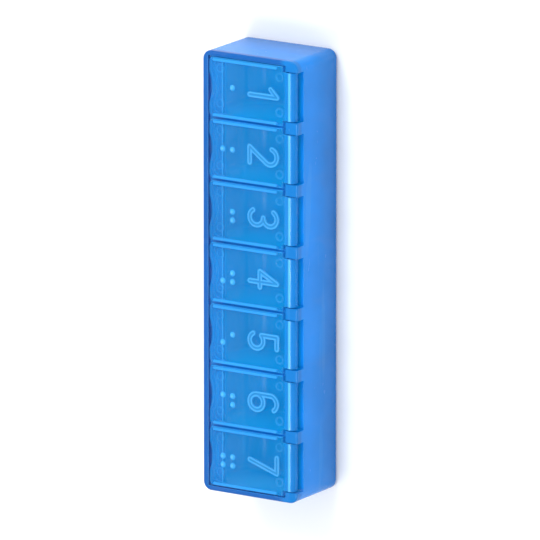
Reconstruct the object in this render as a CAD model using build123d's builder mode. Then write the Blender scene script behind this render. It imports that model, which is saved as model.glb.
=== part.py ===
from build123d import *
import math
import os

# Weekly pill box: a tray with a row of compartments, one hinged lid for each, and a common hinge rod.
# Millimetres. +X runs from the first compartment to the last, -Y is the thumb side, +Z is up.
# The origin is at the middle of the base.

# Whole box
day_count = 7
pitch = 20.4  # centre to centre of two compartments
box_width = 36.0  # front face to rear face
rim_height = 24.4  # base to the top of the rim
corner_radius = 3.0  # upright outer corners
base_radius = 1.5  # edge round the base
rim_radius = 0.5  # outer edge round the rim

# Tray
front_wall = 2.0
rear_wall = 2.0
end_rim = 1.6
divider = 2.0
floor = 1.6
front_ledge = 1.0  # step under the front edge of a lid
scoop_radius = 8.0  # curve from floor to front wall
heel_radius = 5.0  # curve from floor to rear wall
side_radius = 2.0  # curve from floor to divider
nail_width = 11.0  # relief in the ledge for a fingernail
nail_depth = 3.0
gate_radius = 2.0  # shallow dimple under each compartment
gate_depth = 0.25

# Clearances
lid_gap = 0.8  # between neighbouring lids
rim_gap = 0.4  # between a lid and the rim
seat_gap = 0.1  # under a closed lid
plug_gap = 0.3  # between a lid's front band and the compartment
barrel_gap = 0.3  # round and beside a hinge barrel
rod_fit = 0.03  # rod in the posts, radial
rod_run = 0.08  # rod in the barrels, radial

# Hinge
axis_inset = 3.0  # rear face to hinge axis
rod_radius = 0.9
rod_stop = 1.2  # wall left at the closed end of the rod's hole
rod_recess = 0.3  # rod end below the face at the open end
rod_end = 0.225  # rounding of the rod's ends
barrel_radius = 1.9
barrel_proud = 0.25  # barrel above the lid's top
post_width = 3.9
shoulder_gap = 0.5  # lid's shoulders to the round front of a post

# Lids
lid_thickness = 1.4
lid_corner = 1.5
lid_edge = 0.35  # rounding of the top edge
notch_width = 10.0  # thumb notch in the front edge
notch_depth = 0.95
notch_blend = 2.5
band_reach = 5.2  # front edge of the lid to the rear of the thick front band
band_depth = 0.8
band_notch = 1.2  # the band stands back this far behind the thumb notch
bead_radius = 0.2  # catch beads on the sides of the band
bead_length = 2.0
bead_rear = 0.3  # rear of the band to the beads
rib_width = 0.9
rib_height = 0.4
rib_inset = 0.25  # lid's side to the rib
rib_start = 1.6  # front edge of the lid to the rib
rib_end = 4.6  # hinge axis to the rib
mark_radius = 1.5  # ejector rings on the underside
mark_ring = 0.45
mark_depth = 0.25
mark_side = 4.0  # lid's side to the middle of a ring
mark_front = 2.7  # front edge of the lid to the middle of a ring
mark_rear = 4.6  # hinge axis to the middle of a ring

# Raised number and tactile dots
glyph_size = 12.0
glyph_stroke = 1.7
glyph_height = 0.45
glyph_outline = 0.5  # raised border on both sides of a stroke
glyph_groove = 0.2
glyph_behind = 23.25  # front face of the box to the middle of a number
dot_radius = 1.0
dot_height = 0.6
dot_sink = 0.3
dot_column = 2.9
dot_row = 3.7
dot_left = -0.5  # first column from the lid's middle
dot_behind = 11.3  # front face of the box to the first row

# Numbers: angles are an arc's start and turn in degrees, shares are of a bowl's radius
one_stem_share = 0.25
one_flag_shares = (0.7, 0.9)
two_hook_angles = (165, -200)
three_top_angles = (150, -240)
three_low_angles = (90, -240)
four_stem_share = 1 / 3
four_bar_share = 0.5
five_left_share = 0.7
five_right_share = 0.8
five_cup_angles = (135, -285)
six_hook_angles = (35, 145)
seven_foot_share = 1 / 3

# Places that follow from the sizes
front_face = -box_width / 2
rear_face = box_width / 2
rim_inner = front_face + front_wall
lid_front = rim_inner + rim_gap
lid_width = pitch - lid_gap
lid_top = rim_height
lid_bottom = lid_top - lid_thickness
seat = lid_bottom - seat_gap
recess_half = day_count * pitch / 2 - lid_gap / 2 + rim_gap
box_length = 2 * (recess_half + end_rim)
pocket_width = pitch - divider
pocket_front = rim_inner + front_ledge
pocket_rear = rear_face - rear_wall
axis_y = rear_face - axis_inset
axis_z = lid_top + barrel_proud - barrel_radius
post_radius = barrel_radius + barrel_gap
post_front = axis_y - post_radius
shoulder = post_front - shoulder_gap
bay_width = pitch - post_width
bay_floor = axis_z - barrel_radius - barrel_gap
barrel_length = bay_width - 2 * barrel_gap
day_x = [(day - (day_count - 1) / 2) * pitch for day in range(day_count)]
post_x = [(post - day_count / 2) * pitch for post in range(day_count + 1)]

# Dots of each number in a two-column cell, as (column, row)
dot_cells = {
    1: [(0, 0)],
    2: [(0, 0), (0, 1)],
    3: [(0, 0), (1, 0)],
    4: [(0, 0), (1, 0), (1, 1)],
    5: [(0, 0), (1, 1)],
    6: [(0, 0), (1, 0), (0, 1)],
    7: [(0, 0), (1, 0), (0, 1), (1, 1)],
}


def strokes(number):
    """Centre lines of a plain number, in the middle of its cell."""
    top = (glyph_size - glyph_stroke) / 2
    bowl = top / 2
    if number == 1:
        stem = bowl * one_stem_share
        flag = (-bowl * one_flag_shares[0], top - bowl * one_flag_shares[1])
        return [Line((stem, -top), (stem, top)), Line((stem, top), flag)]
    if number == 2:
        hook = CenterArc((0, bowl), bowl, *two_hook_angles)
        return [hook, Line(hook @ 1, (-bowl, -top)), Line((-bowl, -top), (bowl, -top))]
    if number == 3:
        return [
            CenterArc((0, bowl), bowl, *three_top_angles),
            CenterArc((0, -bowl), bowl, *three_low_angles),
        ]
    if number == 4:
        stem = bowl * four_stem_share
        bar = -bowl * four_bar_share
        return [
            Line((stem, top), (-bowl, bar)),
            Line((-bowl, bar), (bowl, bar)),
            Line((stem, top), (stem, -top)),
        ]
    if number == 5:
        cup = CenterArc((0, -bowl), bowl, *five_cup_angles)
        corner = (-bowl * five_left_share, top)
        return [Line((bowl * five_right_share, top), corner), Line(corner, cup @ 0), cup]
    if number == 6:
        return [
            CenterArc((0, bowl), bowl, *six_hook_angles),
            Line((-bowl, bowl), (-bowl, -bowl)),
            CenterArc((0, -bowl), bowl, 0, 180),
            CenterArc((0, -bowl), bowl, 180, 180),
        ]
    return [Line((-bowl, top), (bowl, top)), Line((bowl, top), (-bowl * seven_foot_share, -top))]


def draw_number(number, width):
    """Strokes of a number, rounded at their ends, in the sketch that is open."""
    for line in strokes(number):
        if line.geom_type == GeomType.LINE:
            SlotCenterPoint(line @ 0.5, line @ 1, width)
        else:
            SlotArc(line, width)


def make_pocket():
    """Inside of one compartment, with its scooped floor."""
    with BuildPart() as pocket:
        with BuildSketch(Plane.YZ.offset(-pocket_width / 2)) as profile:
            with Locations(((pocket_front + pocket_rear) / 2, (floor + rim_height) / 2)):
                Rectangle(pocket_rear - pocket_front, rim_height - floor)
            low = profile.vertices().group_by(Axis.Y)[0].sort_by(Axis.X)
            fillet(low[0], radius=scoop_radius)
            low = profile.vertices().group_by(Axis.Y)[0].sort_by(Axis.X)
            fillet(low[-1], radius=heel_radius)
        extrude(amount=pocket_width)
        sides = pocket.faces().filter_by(Axis.X).edges()
        fillet(sides.filter_by(lambda edge: edge.center().Z < seat), radius=side_radius)
    return pocket.part


def make_envelope():
    """Outside of the tray, with every outer edge rounded."""
    with BuildPart() as envelope:
        with BuildSketch():
            RectangleRounded(box_length, box_width, corner_radius)
        extrude(amount=rim_height)
        fillet(envelope.faces().sort_by(Axis.Z)[0].edges(), radius=base_radius)
        fillet(envelope.faces().sort_by(Axis.Z)[-1].edges(), radius=rim_radius)
    return envelope.part


def make_post():
    """Hinge post on a divider: round towards the lid, square at the rear, where the open lid stops."""
    rise = rim_height - axis_z
    start = math.degrees(math.asin(rise / post_radius))
    with BuildPart() as post:
        with BuildSketch(Plane.YZ.offset(-post_width / 2)):
            with BuildLine():
                crown = CenterArc((axis_y, axis_z), post_radius, 180 - start, start)
                back = [(post_front, floor), (rear_face, floor), (rear_face, rim_height)]
                Polyline(crown @ 1, *back, crown @ 0)
            make_face()
        extrude(amount=post_width)
    return post.part


def make_tray():
    """One moulding: compartments, rim, ledge, rear wall and hinge posts."""
    pocket = make_pocket()
    post = make_post()
    envelope = make_envelope()
    with BuildPart() as tray:
        with BuildSketch():
            Rectangle(box_length, box_width)
        extrude(amount=rim_height)
        # Recess that the lids close into, open at the rear
        with BuildSketch(Plane.XY.offset(seat)):
            with Locations((0, (rim_inner + rear_face) / 2)):
                Rectangle(2 * recess_half, rear_face - rim_inner)
        extrude(amount=rim_height - seat, mode=Mode.SUBTRACT)
        # Compartments
        with Locations([(x, 0, 0) for x in day_x]):
            add(pocket, mode=Mode.SUBTRACT)
        # Bays in the rear wall for the hinge barrels
        with BuildSketch(Plane.XY.offset(bay_floor)):
            with Locations([(x, (post_front + rear_face) / 2) for x in day_x]):
                Rectangle(bay_width, rear_face - post_front)
        extrude(amount=rim_height - bay_floor, mode=Mode.SUBTRACT)
        # Fingernail reliefs in the front ledge
        with BuildSketch(Plane.XY.offset(seat - nail_depth)):
            with Locations([(x, (rim_inner + pocket_front) / 2) for x in day_x]):
                Rectangle(nail_width, front_ledge)
        extrude(amount=nail_depth, mode=Mode.SUBTRACT)
        # Hinge posts, one at each divider and end
        with Locations([(x, 0, 0) for x in post_x]):
            add(post)
        # Hole for the rod, closed at the first end
        with BuildSketch(Plane.YZ.offset(rod_stop - box_length / 2)):
            with Locations((axis_y, axis_z)):
                Circle(rod_radius + rod_fit)
        extrude(amount=box_length, mode=Mode.SUBTRACT)
        # Dimples left by the mould's gates
        with BuildSketch():
            with Locations([(x, 0) for x in day_x]):
                Circle(gate_radius)
        extrude(amount=gate_depth, mode=Mode.SUBTRACT)
        # Rounded outside
        add(envelope, mode=Mode.INTERSECT)
    return tray.part


def make_rod():
    """Hinge rod through the posts and the barrels."""
    rod_length = box_length - rod_stop - rod_recess
    with BuildPart() as rod:
        with BuildSketch(Plane.YZ.offset(rod_stop - box_length / 2)):
            with Locations((axis_y, axis_z)):
                Circle(rod_radius)
        extrude(amount=rod_length)
        fillet(rod.edges().filter_by(GeomType.CIRCLE), radius=rod_end)
    return rod.part


def make_lid(number, x):
    """One lid, closed, over the compartment at x."""
    notch_radius = (notch_width**2 / 4 + notch_depth**2) / (2 * notch_depth)
    band_front = pocket_front + plug_gap
    band_rear = lid_front + band_reach
    band_width = pocket_width - 2 * plug_gap
    ring_x = lid_width / 2 - mark_side
    with BuildPart() as lid:
        # Plate with its thumb notch and the neck to the barrel
        with BuildSketch(Plane.XY.offset(lid_bottom)) as outline:
            with Locations((x, (lid_front + shoulder) / 2)):
                Rectangle(lid_width, shoulder - lid_front)
            with Locations((x, lid_front + notch_depth - notch_radius)):
                Circle(notch_radius, mode=Mode.SUBTRACT)
            front = outline.vertices().group_by(Axis.Y)[0].sort_by(Axis.X)
            fillet([front[0], front[-1]], radius=lid_corner)
            front = outline.vertices().group_by(Axis.Y)[0].sort_by(Axis.X)
            fillet(front[1:3], radius=notch_blend)
        extrude(amount=lid_thickness)
        top_edges = lid.faces().sort_by(Axis.Z)[-1].edges()
        fillet(top_edges.filter_by(lambda edge: edge.center().Y < shoulder - lid_edge), radius=lid_edge)
        with BuildSketch(Plane.XY.offset(lid_bottom)):
            with Locations((x, (shoulder + axis_y) / 2)):
                Rectangle(barrel_length, axis_y - shoulder)
        extrude(amount=lid_thickness)
        # Thick band behind the front edge, standing back where a nail lifts the lid
        with BuildSketch(Plane.XY.offset(lid_bottom)) as band:
            with Locations((x, (band_front + band_rear) / 2)):
                Rectangle(band_width, band_rear - band_front)
            fillet(band.vertices().group_by(Axis.Y)[0], radius=side_radius)
            with Locations((x, lid_front + notch_depth + band_notch - notch_radius)):
                Circle(notch_radius, mode=Mode.SUBTRACT)
        extrude(amount=-band_depth)
        # Catch beads on both sides of the band
        with BuildSketch(Plane.XZ.offset(-band_rear + bead_rear)):
            with Locations([(x + side * band_width / 2, lid_bottom - band_depth / 2) for side in (-1, 1)]):
                Circle(bead_radius)
        extrude(amount=bead_length)
        # Barrel and its bore
        with BuildSketch(Plane.YZ.offset(x - barrel_length / 2)):
            with Locations((axis_y, axis_z)):
                Circle(barrel_radius)
        extrude(amount=barrel_length)
        with BuildSketch(Plane.YZ.offset(x - barrel_length / 2)):
            with Locations((axis_y, axis_z)):
                Circle(rod_radius + rod_run)
        extrude(amount=barrel_length, mode=Mode.SUBTRACT)
        # Raised ribs along both sides
        rib_front = lid_front + rib_start
        rib_rear = axis_y - rib_end
        rib_x = lid_width / 2 - rib_inset - rib_width / 2
        with BuildSketch(Plane.XY.offset(lid_top)):
            with Locations([(x + side * rib_x, (rib_front + rib_rear) / 2) for side in (-1, 1)]):
                SlotOverall(rib_rear - rib_front, rib_width, rotation=90)
        extrude(amount=rib_height)
        # Raised number with a groove along its strokes
        with BuildSketch(Plane.XY.offset(lid_top)) as glyph:
            with Locations((x, front_face + glyph_behind)):
                draw_number(number, glyph_stroke)
        extrude(amount=glyph_height)
        with BuildSketch(Plane.XY.offset(lid_top + glyph_height)):
            with Locations((x, front_face + glyph_behind)):
                draw_number(number, glyph_stroke - 2 * glyph_outline)
        extrude(amount=-glyph_groove, mode=Mode.SUBTRACT)
        # Tactile dots
        ball = (dot_radius**2 + dot_height**2) / (2 * dot_height)
        base_angle = math.degrees(math.asin((ball - dot_height - dot_sink) / ball))
        for column, row in dot_cells[number]:
            dot_x = x + dot_left + column * dot_column
            dot_y = front_face + dot_behind - row * dot_row
            with Locations((dot_x, dot_y, lid_top - dot_sink)):
                Sphere(ball, arc_size1=base_angle, align=(Align.CENTER, Align.CENTER, Align.MIN))
        # Ejector rings on the underside
        front_ring = (lid_front + mark_front, lid_bottom - band_depth)
        rear_ring = (axis_y - mark_rear, lid_bottom)
        for ring_y, face_z in (front_ring, rear_ring):
            with BuildSketch(Plane.XY.offset(face_z)):
                with Locations([(x + side * ring_x, ring_y) for side in (-1, 1)]):
                    Circle(mark_radius)
                    Circle(mark_radius - mark_ring, mode=Mode.SUBTRACT)
            extrude(amount=mark_depth, mode=Mode.SUBTRACT)
    return lid.part


os.makedirs("parts", exist_ok=True)

tray = make_tray()
tray.label = "tray"
export_step(tray, "parts/tray.step")

hinge_rod = make_rod()
hinge_rod.label = "hinge_rod"
export_step(hinge_rod, "parts/hinge_rod.step")

for number, x in enumerate(day_x, start=1):
    lid = make_lid(number, x)
    lid.label = f"lid_{number}"
    export_step(lid, f"parts/lid_{number}.step")
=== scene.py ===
import math

import bpy
from mathutils import Matrix, Vector


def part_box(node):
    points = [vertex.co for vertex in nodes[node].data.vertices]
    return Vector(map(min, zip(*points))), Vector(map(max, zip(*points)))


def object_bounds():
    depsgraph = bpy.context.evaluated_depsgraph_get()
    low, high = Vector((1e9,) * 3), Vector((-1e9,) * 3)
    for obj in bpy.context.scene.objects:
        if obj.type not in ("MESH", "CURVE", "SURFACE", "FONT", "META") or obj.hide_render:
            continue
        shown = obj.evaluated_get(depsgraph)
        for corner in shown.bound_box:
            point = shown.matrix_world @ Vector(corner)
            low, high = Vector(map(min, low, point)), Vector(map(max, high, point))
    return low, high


# Weekly pill box: materials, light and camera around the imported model. Metres, in the model's own frame.
# +X runs from the first lid to the last, -Y is the thumb side, +Z is up.

MM = 0.001
DAYS = range(1, 8)

# Colours, linear, with how solid each surface looks
LID_SHEET = (0.005, 0.400, 0.940, 0.21)
LID_FRONT = (0.010, 0.265, 0.730, 0.46)
# Painted highlight: a pale line along the rear of each lid's thick front band
LID_BAND_HIGHLIGHT = (0.040, 0.420, 0.980, 0.50)
LID_BARREL = (0.002, 0.270, 0.780, 0.60)
# Painted highlight along the crest of each hinge barrel
LID_CREST_HIGHLIGHT = (0.080, 0.520, 1.000, 0.85)
# Raised details: rub wear and a painted highlight, palest on their tops
LID_RAISED_WEAR_AND_HIGHLIGHT = (0.110, 0.520, 1.000, 0.85)
# Painted glow on the lids' sides and edges
LID_EDGE_GLOW = (0.050, 0.480, 1.000, 0.75)
LID_RIB = (0.001, 0.280, 0.850, 0.92)
LID_MARK = (0.060, 0.460, 1.000, 0.38)
# Painted shade: the tray darker towards the bottom
TRAY_FLOOR_SHADE = (0.002, 0.175, 0.560, 0.84)
TRAY_WALL = (0.001, 0.265, 0.860, 0.83)
# Painted light: the compartments' inside brighter than the same plastic outside
TRAY_INSIDE_LIGHT = (0.003, 0.400, 0.880, 0.80)
# Painted light: the dividers' faces, facing along the row, lit brightest
TRAY_DIVIDER_LIGHT = (0.001, 0.560, 1.000, 0.85)
TRAY_POST = (0.001, 0.200, 0.620, 0.90)
TRAY_RIM = (0.001, 0.110, 0.430, 0.92)
# Painted glow on the tray's and the rod's edges
TRAY_EDGE_GLOW = (0.010, 0.440, 1.000, 0.80)
ROD_BLUE = (0.010, 0.300, 0.850, 0.80)
SCUFFED = (0.100, 0.460, 0.960, 0.60)
FLOOR_COLOUR = (0.96, 0.96, 0.96, 1.0)
WORLD_COLOUR = (0.95, 0.97, 1.0, 1.0)

# Places on the lids
SHARP = 0.1 * MM  # width of a sharp change of colour
BAND_REACH = 5.2 * MM  # front edge to the rear of the thick front band
# Painted highlight line along the rear of the band
BAND_HIGHLIGHT_WIDTH = 0.3 * MM  # pale line along the rear of the band
BARREL_RADIUS = 1.9 * MM
# The bright line along the barrel is a painted highlight
CREST_HIGHLIGHT_HALF = 0.3 * MM  # half the width of the bright line along the barrel
# Raised details pale towards their tops: rub wear and a painted highlight
RAISED_FADE = (0.05 * MM, 0.6 * MM)  # over the rim, where a raised detail starts to pale and is palest
RIB_REACH = 1.6 * MM  # middle of the gap between two lids to just past a rib
LID_THICKNESS = 1.4 * MM
BAND_DEPTH = 0.8 * MM  # band below the lid's underside
MARK_DEPTH = 0.25 * MM  # ejector rings, cut into the underside
MARK_FADE = (0.03 * MM, 0.09 * MM)  # off a ring's floor, where its colour starts to fade and is gone

# Places on the tray
# Painted shade, darker towards the bottom, fades from FLOOR_TOP up to WALL_START
FLOOR_TOP = 1.7 * MM  # just over the compartments' floor
WALL_START = 16.0 * MM  # height where the wall's colour is full
RIM_FADE = (21.5 * MM, 23.5 * MM)  # heights where the wall's colour ends and the rim's is full
# The inside's colour is painted light
BASE_FADE = (0.2 * MM, 0.8 * MM)  # heights where the inside's colour starts and is full
WALL_REACH = 1.5 * MM  # outer face to where the inside's colour is full
POST_FADE = 2.0 * MM  # front of the hinge barrels to where the posts' colour starts

# Cosines between a face and an axis, or its rounded edge, where a detail starts and where it is full:
# painted glow on steep sides and rounded edges, painted light on faces across the row
STEEP = (0.98, 0.80)
SQUARE = (0.5, 0.9)
ROUNDED = (0.98, 0.75)

# Edges, and how far the painted edge glow and the ribs draw the colour to their own
EDGE_RADIUS = 0.4 * MM
EDGE_SAMPLES = 6
EDGE_GLOW_SHARE = 0.9
RIB_SHARE = 0.95

# Wear: each noise as its scale, detail and stretch along X, Y and Z, and the part of it that shows
SCRATCH_NOISE = (240.0, 2.0, (0.08, 1.0, 1.0))
SCRATCH_RANGE = (0.66, 0.72)
SCRATCH_SHARE = 0.15
STREAK_NOISE = (60.0, 4.0, (1.0, 0.35, 1.0))
STREAK_RANGE = (0.35, 0.70)
STREAK_TONES = (1.04, 0.90)
SCUFF_NOISE = (420.0, 6.0, (0.5, 1.0, 1.0))
SCUFF_RANGE = (0.30, 0.75)
SKIN_NOISE = (1500.0, 3.0, (1.0, 1.0, 1.0))
SKIN_STRENGTH = 0.03
SKIN_DEPTH = 0.1 * MM

# Gloss: roughness where the plastic is smooth and where it is scuffed
LID_ROUGHNESS = (0.08, 0.16)
TRAY_ROUGHNESS = (0.18, 0.28)
ROD_ROUGHNESS = (0.25, 0.40)
PLASTIC_IOR = 1.49
PLASTIC_SPECULAR = 0.28
FLOOR_ROUGHNESS = 0.9

# Surroundings: the lamps are squares, each with its place, side and power in watts
FLOOR_HALF = 4.0
WORLD_STRENGTH = 0.80
LAMPS = {
    "key": ((-0.80, -0.12, 0.80), 0.6, 6.0),
    "gloss": ((0.27, -0.10, 1.00), 0.25, 3.0),
    "fill": ((0.30, 0.80, 0.70), 0.9, 1.5),
}

# Camera: angles from straight above, towards the hinge and towards the first lid
VIEW_TO_HINGE = math.radians(32.6)
VIEW_TO_FIRST = math.radians(13.9)
CAMERA_DISTANCE = 3.8
CAMERA_REACH = 50.0
SENSOR = 36.0  # millimetres
FRAME_PIXELS = 540
OBJECT_PIXELS = 470

# Places that follow from the frame
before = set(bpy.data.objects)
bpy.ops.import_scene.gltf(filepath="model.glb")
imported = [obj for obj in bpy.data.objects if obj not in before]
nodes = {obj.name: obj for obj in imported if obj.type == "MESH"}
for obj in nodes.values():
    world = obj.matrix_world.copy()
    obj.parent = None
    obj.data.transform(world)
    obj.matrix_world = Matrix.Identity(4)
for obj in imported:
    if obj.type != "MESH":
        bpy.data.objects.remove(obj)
cad_low, cad_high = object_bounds()
tray_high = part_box("tray")[1]
lid_low, lid_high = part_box("lid_1")
half_pitch = (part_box("lid_2")[0].x - lid_low.x) / 2
rim_top = tray_high.z
band_end = lid_low.y + BAND_REACH
barrel_start = lid_high.y - 2 * BARREL_RADIUS
crest = lid_high.y - BARREL_RADIUS

# Colour along each piece, as stops of (place, colour)
lid_stops = [
    (lid_low.y, LID_FRONT),
    # Painted highlight line at the rear of the front band
    (band_end - BAND_HIGHLIGHT_WIDTH - SHARP, LID_FRONT),
    (band_end - BAND_HIGHLIGHT_WIDTH, LID_BAND_HIGHLIGHT),
    (band_end, LID_BAND_HIGHLIGHT),
    (band_end + SHARP, LID_SHEET),
    (barrel_start - SHARP, LID_SHEET),
    (barrel_start + SHARP, LID_BARREL),
    # Painted highlight along the barrel's crest
    (crest - CREST_HIGHLIGHT_HALF - SHARP, LID_BARREL),
    (crest - CREST_HIGHLIGHT_HALF, LID_CREST_HIGHLIGHT),
    (crest + CREST_HIGHLIGHT_HALF, LID_CREST_HIGHLIGHT),
    (crest + CREST_HIGHLIGHT_HALF + SHARP, LID_BARREL),
    (lid_high.y, LID_BARREL),
]
tray_stops = [
    # Painted shade, darker towards the bottom
    (0.0, TRAY_FLOOR_SHADE),
    (FLOOR_TOP, TRAY_FLOOR_SHADE),
    (WALL_START, TRAY_WALL),
    (RIM_FADE[0], TRAY_WALL),
    (RIM_FADE[1], TRAY_RIM),
    (rim_top, TRAY_RIM),
]
rod_stops = [
    (0.0, ROD_BLUE),
    (rim_top, ROD_BLUE),
]


def new_material(name):
    """A new node material and its Principled shader."""
    material = bpy.data.materials.new(name)
    material.use_nodes = True
    return material, material.node_tree.nodes["Principled BSDF"]


class Plastic:
    """A see-through moulded plastic in the making: its nodes, and its colour and solidness so far."""

    def __init__(self, name, axis, stops):
        self.material, self.shader = new_material(name)
        self.tree = self.material.node_tree
        coordinates = self.tree.nodes.new("ShaderNodeTexCoord")
        self.place = coordinates.outputs["Object"]
        self.at = self.split(self.place)
        self.facing = self.split(coordinates.outputs["Normal"])
        bevel = self.tree.nodes.new("ShaderNodeBevel")
        bevel.samples = EDGE_SAMPLES
        bevel.inputs["Radius"].default_value = EDGE_RADIUS
        self.rounded = bevel.outputs["Normal"]
        self.start_colour(self.at[axis], stops)

    def split(self, vector):
        """The X, Y and Z of a vector."""
        node = self.tree.nodes.new("ShaderNodeSeparateXYZ")
        self.tree.links.new(vector, node.inputs["Vector"])
        return node.outputs

    def calculate(self, operation, first, second=None):
        """One sum on a socket, with a second socket or a number where it takes one."""
        node = self.tree.nodes.new("ShaderNodeMath")
        node.operation = operation
        self.tree.links.new(first, node.inputs[0])
        if isinstance(second, float):
            node.inputs[1].default_value = second
        elif second is not None:
            self.tree.links.new(second, node.inputs[1])
        return node.outputs["Value"]

    def spread(self, value, start, end, low=0.0, high=1.0):
        """Low where a value is at start, high where it is at end, and held beyond them."""
        node = self.tree.nodes.new("ShaderNodeMapRange")
        node.inputs["From Min"].default_value = start
        node.inputs["From Max"].default_value = end
        node.inputs["To Min"].default_value = low
        node.inputs["To Max"].default_value = high
        self.tree.links.new(value, node.inputs["Value"])
        return node.outputs["Result"]

    def noise(self, scale, detail, stretch):
        """Noise over the piece's own coordinates."""
        mapping = self.tree.nodes.new("ShaderNodeMapping")
        mapping.inputs["Scale"].default_value = stretch
        node = self.tree.nodes.new("ShaderNodeTexNoise")
        node.inputs["Scale"].default_value = scale
        node.inputs["Detail"].default_value = detail
        self.tree.links.new(self.place, mapping.inputs["Vector"])
        self.tree.links.new(mapping.outputs["Vector"], node.inputs["Vector"])
        return node.outputs["Fac"]

    def start_colour(self, value, stops):
        """Colour and solidness along a distance."""
        low = stops[0][0]
        high = stops[-1][0]
        ramp = self.tree.nodes.new("ShaderNodeValToRGB")
        points = ramp.color_ramp.elements
        # New points start in the middle and then take their places
        while len(points) < len(stops):
            points.new(0.5)
        for point, (place, colour) in zip(points, stops):
            point.position = (place - low) / (high - low)
            point.color = colour
        self.tree.links.new(self.spread(value, low, high), ramp.inputs["Fac"])
        self.colour = ramp.outputs["Color"]
        self.solid = ramp.outputs["Alpha"]

    def blend(self, factor, target):
        """Draw colour and solidness towards a target colour by a factor."""
        tint = self.tree.nodes.new("ShaderNodeMix")
        tint.data_type = "RGBA"
        first, second = [socket for socket in tint.inputs if socket.type == "RGBA"]
        self.tree.links.new(factor, tint.inputs["Factor"])
        self.tree.links.new(self.colour, first)
        second.default_value = target
        fill = self.tree.nodes.new("ShaderNodeMix")
        self.tree.links.new(factor, fill.inputs["Factor"])
        self.tree.links.new(self.solid, fill.inputs["A"])
        fill.inputs["B"].default_value = target[3]
        self.colour = next(socket for socket in tint.outputs if socket.type == "RGBA")
        self.solid = fill.outputs["Result"]

    def paint_edge_glow(self, edge_colour):
        """Painted edge glow: bright edges, where the rounded normal leaves the face's own."""
        face = self.tree.nodes.new("ShaderNodeNewGeometry")
        match = self.tree.nodes.new("ShaderNodeVectorMath")
        match.operation = "DOT_PRODUCT"
        self.tree.links.new(self.rounded, match.inputs[0])
        self.tree.links.new(face.outputs["Normal"], match.inputs[1])
        self.blend(self.spread(match.outputs["Value"], *ROUNDED, 0.0, EDGE_GLOW_SHARE), edge_colour)

    def add_wear(self, roughness):
        """Scratches, moulding streaks, scuffs and a fine skin. Gives the finished material."""
        inputs = self.shader.inputs
        self.blend(self.spread(self.noise(*SCRATCH_NOISE), *SCRATCH_RANGE, 0.0, SCRATCH_SHARE), SCUFFED)
        streaks = self.spread(self.noise(*STREAK_NOISE), *STREAK_RANGE, *STREAK_TONES)
        tone = self.tree.nodes.new("ShaderNodeHueSaturation")
        self.tree.links.new(streaks, tone.inputs["Value"])
        self.tree.links.new(self.colour, tone.inputs["Color"])
        self.tree.links.new(tone.outputs["Color"], inputs["Base Color"])
        self.tree.links.new(self.solid, inputs["Alpha"])
        scuffs = self.spread(self.noise(*SCUFF_NOISE), *SCUFF_RANGE, *roughness)
        self.tree.links.new(scuffs, inputs["Roughness"])
        inputs["IOR"].default_value = PLASTIC_IOR
        inputs["Specular IOR Level"].default_value = PLASTIC_SPECULAR
        bump = self.tree.nodes.new("ShaderNodeBump")
        bump.inputs["Strength"].default_value = SKIN_STRENGTH
        bump.inputs["Distance"].default_value = SKIN_DEPTH
        self.tree.links.new(self.noise(*SKIN_NOISE), bump.inputs["Height"])
        self.tree.links.new(self.rounded, bump.inputs["Normal"])
        self.tree.links.new(bump.outputs["Normal"], inputs["Normal"])
        return self.material


def make_lid_plastic():
    """Lids: numbers and dots pale from rub wear and a painted highlight, faint ejector rings, painted glow
    on sides and edges, deep blue ribs.
    """
    plastic = Plastic("lid_plastic", "Y", lid_stops)
    low, high = RAISED_FADE
    raised = plastic.spread(plastic.at["Z"], rim_top + low, rim_top + high)
    # Rub wear and a painted highlight on raised details and the barrels' crests
    plastic.blend(raised, LID_RAISED_WEAR_AND_HIGHLIGHT)
    for depth in (MARK_DEPTH, MARK_DEPTH - BAND_DEPTH):
        ring_floor = rim_top - LID_THICKNESS + depth
        away = plastic.calculate("ABSOLUTE", plastic.calculate("SUBTRACT", plastic.at["Z"], ring_floor))
        plastic.blend(plastic.spread(away, *MARK_FADE, 1.0, 0.0), LID_MARK)
    # Painted glow on the lids' steep sides ahead of the barrels, then on all rounded edges
    steep = plastic.spread(plastic.calculate("ABSOLUTE", plastic.facing["Z"]), *STEEP, 0.0, EDGE_GLOW_SHARE)
    before = plastic.spread(plastic.at["Y"], barrel_start - SHARP, barrel_start, 1.0, 0.0)
    plastic.blend(plastic.calculate("MULTIPLY", steep, before), LID_EDGE_GLOW)
    plastic.paint_edge_glow(LID_EDGE_GLOW)
    rib_side = half_pitch - RIB_REACH
    across = plastic.calculate("PINGPONG", plastic.at["X"], half_pitch)
    beside = plastic.spread(across, rib_side - SHARP, rib_side, 0.0, RIB_SHARE)
    plastic.blend(plastic.calculate("MULTIPLY", beside, raised), LID_RIB)
    return plastic.add_wear(LID_ROUGHNESS)


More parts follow.
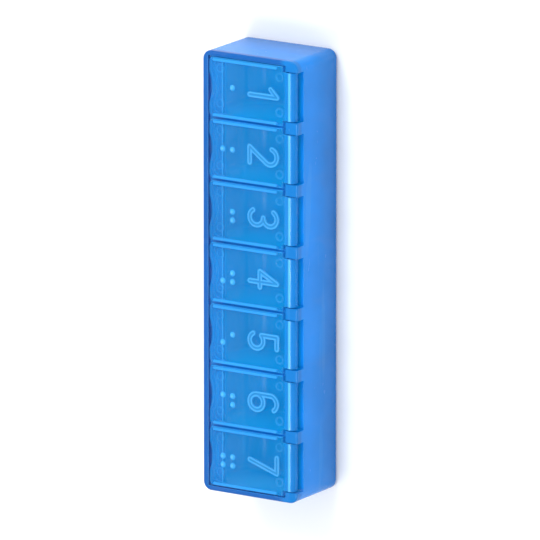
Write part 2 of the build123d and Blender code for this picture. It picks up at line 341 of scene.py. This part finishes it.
def make_tray_plastic():
    """Tray: painted light on the inside, brightest on faces across the row, painted shade towards the
    bottom, dark rim, painted edge glow and hinge posts.
    """
    plastic = Plastic("tray_plastic", "Z", tray_stops)
    height = plastic.at["Z"]
    below_rim = plastic.spread(height, *RIM_FADE, 1.0, 0.0)
    inside = plastic.calculate("MULTIPLY", plastic.spread(height, *BASE_FADE), below_rim)
    for axis, outer in (("X", tray_high.x), ("Y", tray_high.y)):
        away = plastic.calculate("ABSOLUTE", plastic.at[axis])
        within = plastic.spread(away, outer - WALL_REACH, outer - WALL_REACH / 2, 1.0, 0.0)
        inside = plastic.calculate("MULTIPLY", inside, within)
    # Painted light on the compartments' inside
    plastic.blend(inside, TRAY_INSIDE_LIGHT)
    # Painted light on the dividers' faces, facing along the row, inside only
    square = plastic.spread(plastic.calculate("ABSOLUTE", plastic.facing["X"]), *SQUARE)
    plastic.blend(plastic.calculate("MULTIPLY", square, inside), TRAY_DIVIDER_LIGHT)
    plastic.paint_edge_glow(TRAY_EDGE_GLOW)
    rear = plastic.spread(plastic.at["Y"], barrel_start - POST_FADE, barrel_start)
    plastic.blend(plastic.calculate("MULTIPLY", rear, plastic.spread(height, *RIM_FADE)), TRAY_POST)
    return plastic.add_wear(TRAY_ROUGHNESS)


def make_rod_plastic():
    """Hinge rod: one blue with painted edge glow."""
    plastic = Plastic("rod_plastic", "Z", rod_stops)
    plastic.paint_edge_glow(TRAY_EDGE_GLOW)
    return plastic.add_wear(ROD_ROUGHNESS)


def dress(node, material):
    """Give a CAD node its finish."""
    piece = nodes[node]
    piece.data.materials.clear()
    piece.data.materials.append(material)


def make_floor():
    """Plain pale floor that keeps the object's shadow."""
    corners = [(x * FLOOR_HALF, y * FLOOR_HALF, 0) for x, y in ((-1, -1), (1, -1), (1, 1), (-1, 1))]
    mesh = bpy.data.meshes.new("floor")
    mesh.from_pydata(corners, [], [(0, 1, 2, 3)])
    floor = bpy.data.objects.new("floor", mesh)
    bpy.context.scene.collection.objects.link(floor)
    material, shader = new_material("floor_paper")
    shader.inputs["Base Color"].default_value = FLOOR_COLOUR
    shader.inputs["Roughness"].default_value = FLOOR_ROUGHNESS
    mesh.materials.append(material)


def make_world():
    """Even soft surroundings."""
    world = bpy.data.worlds.new("studio")
    world.use_nodes = True
    background = world.node_tree.nodes["Background"]
    background.inputs["Color"].default_value = WORLD_COLOUR
    background.inputs["Strength"].default_value = WORLD_STRENGTH
    bpy.context.scene.world = world


def make_lamp(name, place, side, power):
    """Soft box aimed at the middle of the base."""
    data = bpy.data.lights.new(name, "AREA")
    data.shape = "SQUARE"
    data.size = side
    data.energy = power
    lamp = bpy.data.objects.new(name, data)
    lamp.location = place
    lamp.rotation_mode = "QUATERNION"
    lamp.rotation_quaternion = (-Vector(place)).to_track_quat("-Z", "Y")
    bpy.context.scene.collection.objects.link(lamp)


def make_camera():
    """Camera at the photograph's angle, with the row of lids upright in the picture."""
    centre = (cad_low + cad_high) / 2
    size = cad_high - cad_low
    to_first = Vector((-1, 0, 0))
    to_hinge = Vector((0, math.sin(VIEW_TO_HINGE), math.cos(VIEW_TO_HINGE)))
    back = to_hinge * math.cos(VIEW_TO_FIRST) + to_first * math.sin(VIEW_TO_FIRST)
    up = (to_first - back * to_first.dot(back)).normalized()
    right = up.cross(back)
    tall = sum(abs(share) * side for share, side in zip(up, size))
    view = tall * FRAME_PIXELS / OBJECT_PIXELS
    data = bpy.data.cameras.new("camera")
    data.sensor_width = SENSOR
    data.lens = SENSOR * CAMERA_DISTANCE / view
    data.clip_end = CAMERA_REACH
    camera = bpy.data.objects.new("camera", data)
    turn = Matrix((right, up, back)).transposed().to_4x4()
    camera.matrix_world = Matrix.Translation(centre + back * CAMERA_DISTANCE) @ turn
    bpy.context.scene.collection.objects.link(camera)
    bpy.context.scene.camera = camera


dress("tray", make_tray_plastic())
dress("hinge_rod", make_rod_plastic())
lid_plastic = make_lid_plastic()
for day in DAYS:
    dress(f"lid_{day}", lid_plastic)

make_floor()
make_world()
for name, settings in LAMPS.items():
    make_lamp(name, *settings)
make_camera()

bpy.context.scene.view_settings.view_transform = "Standard"
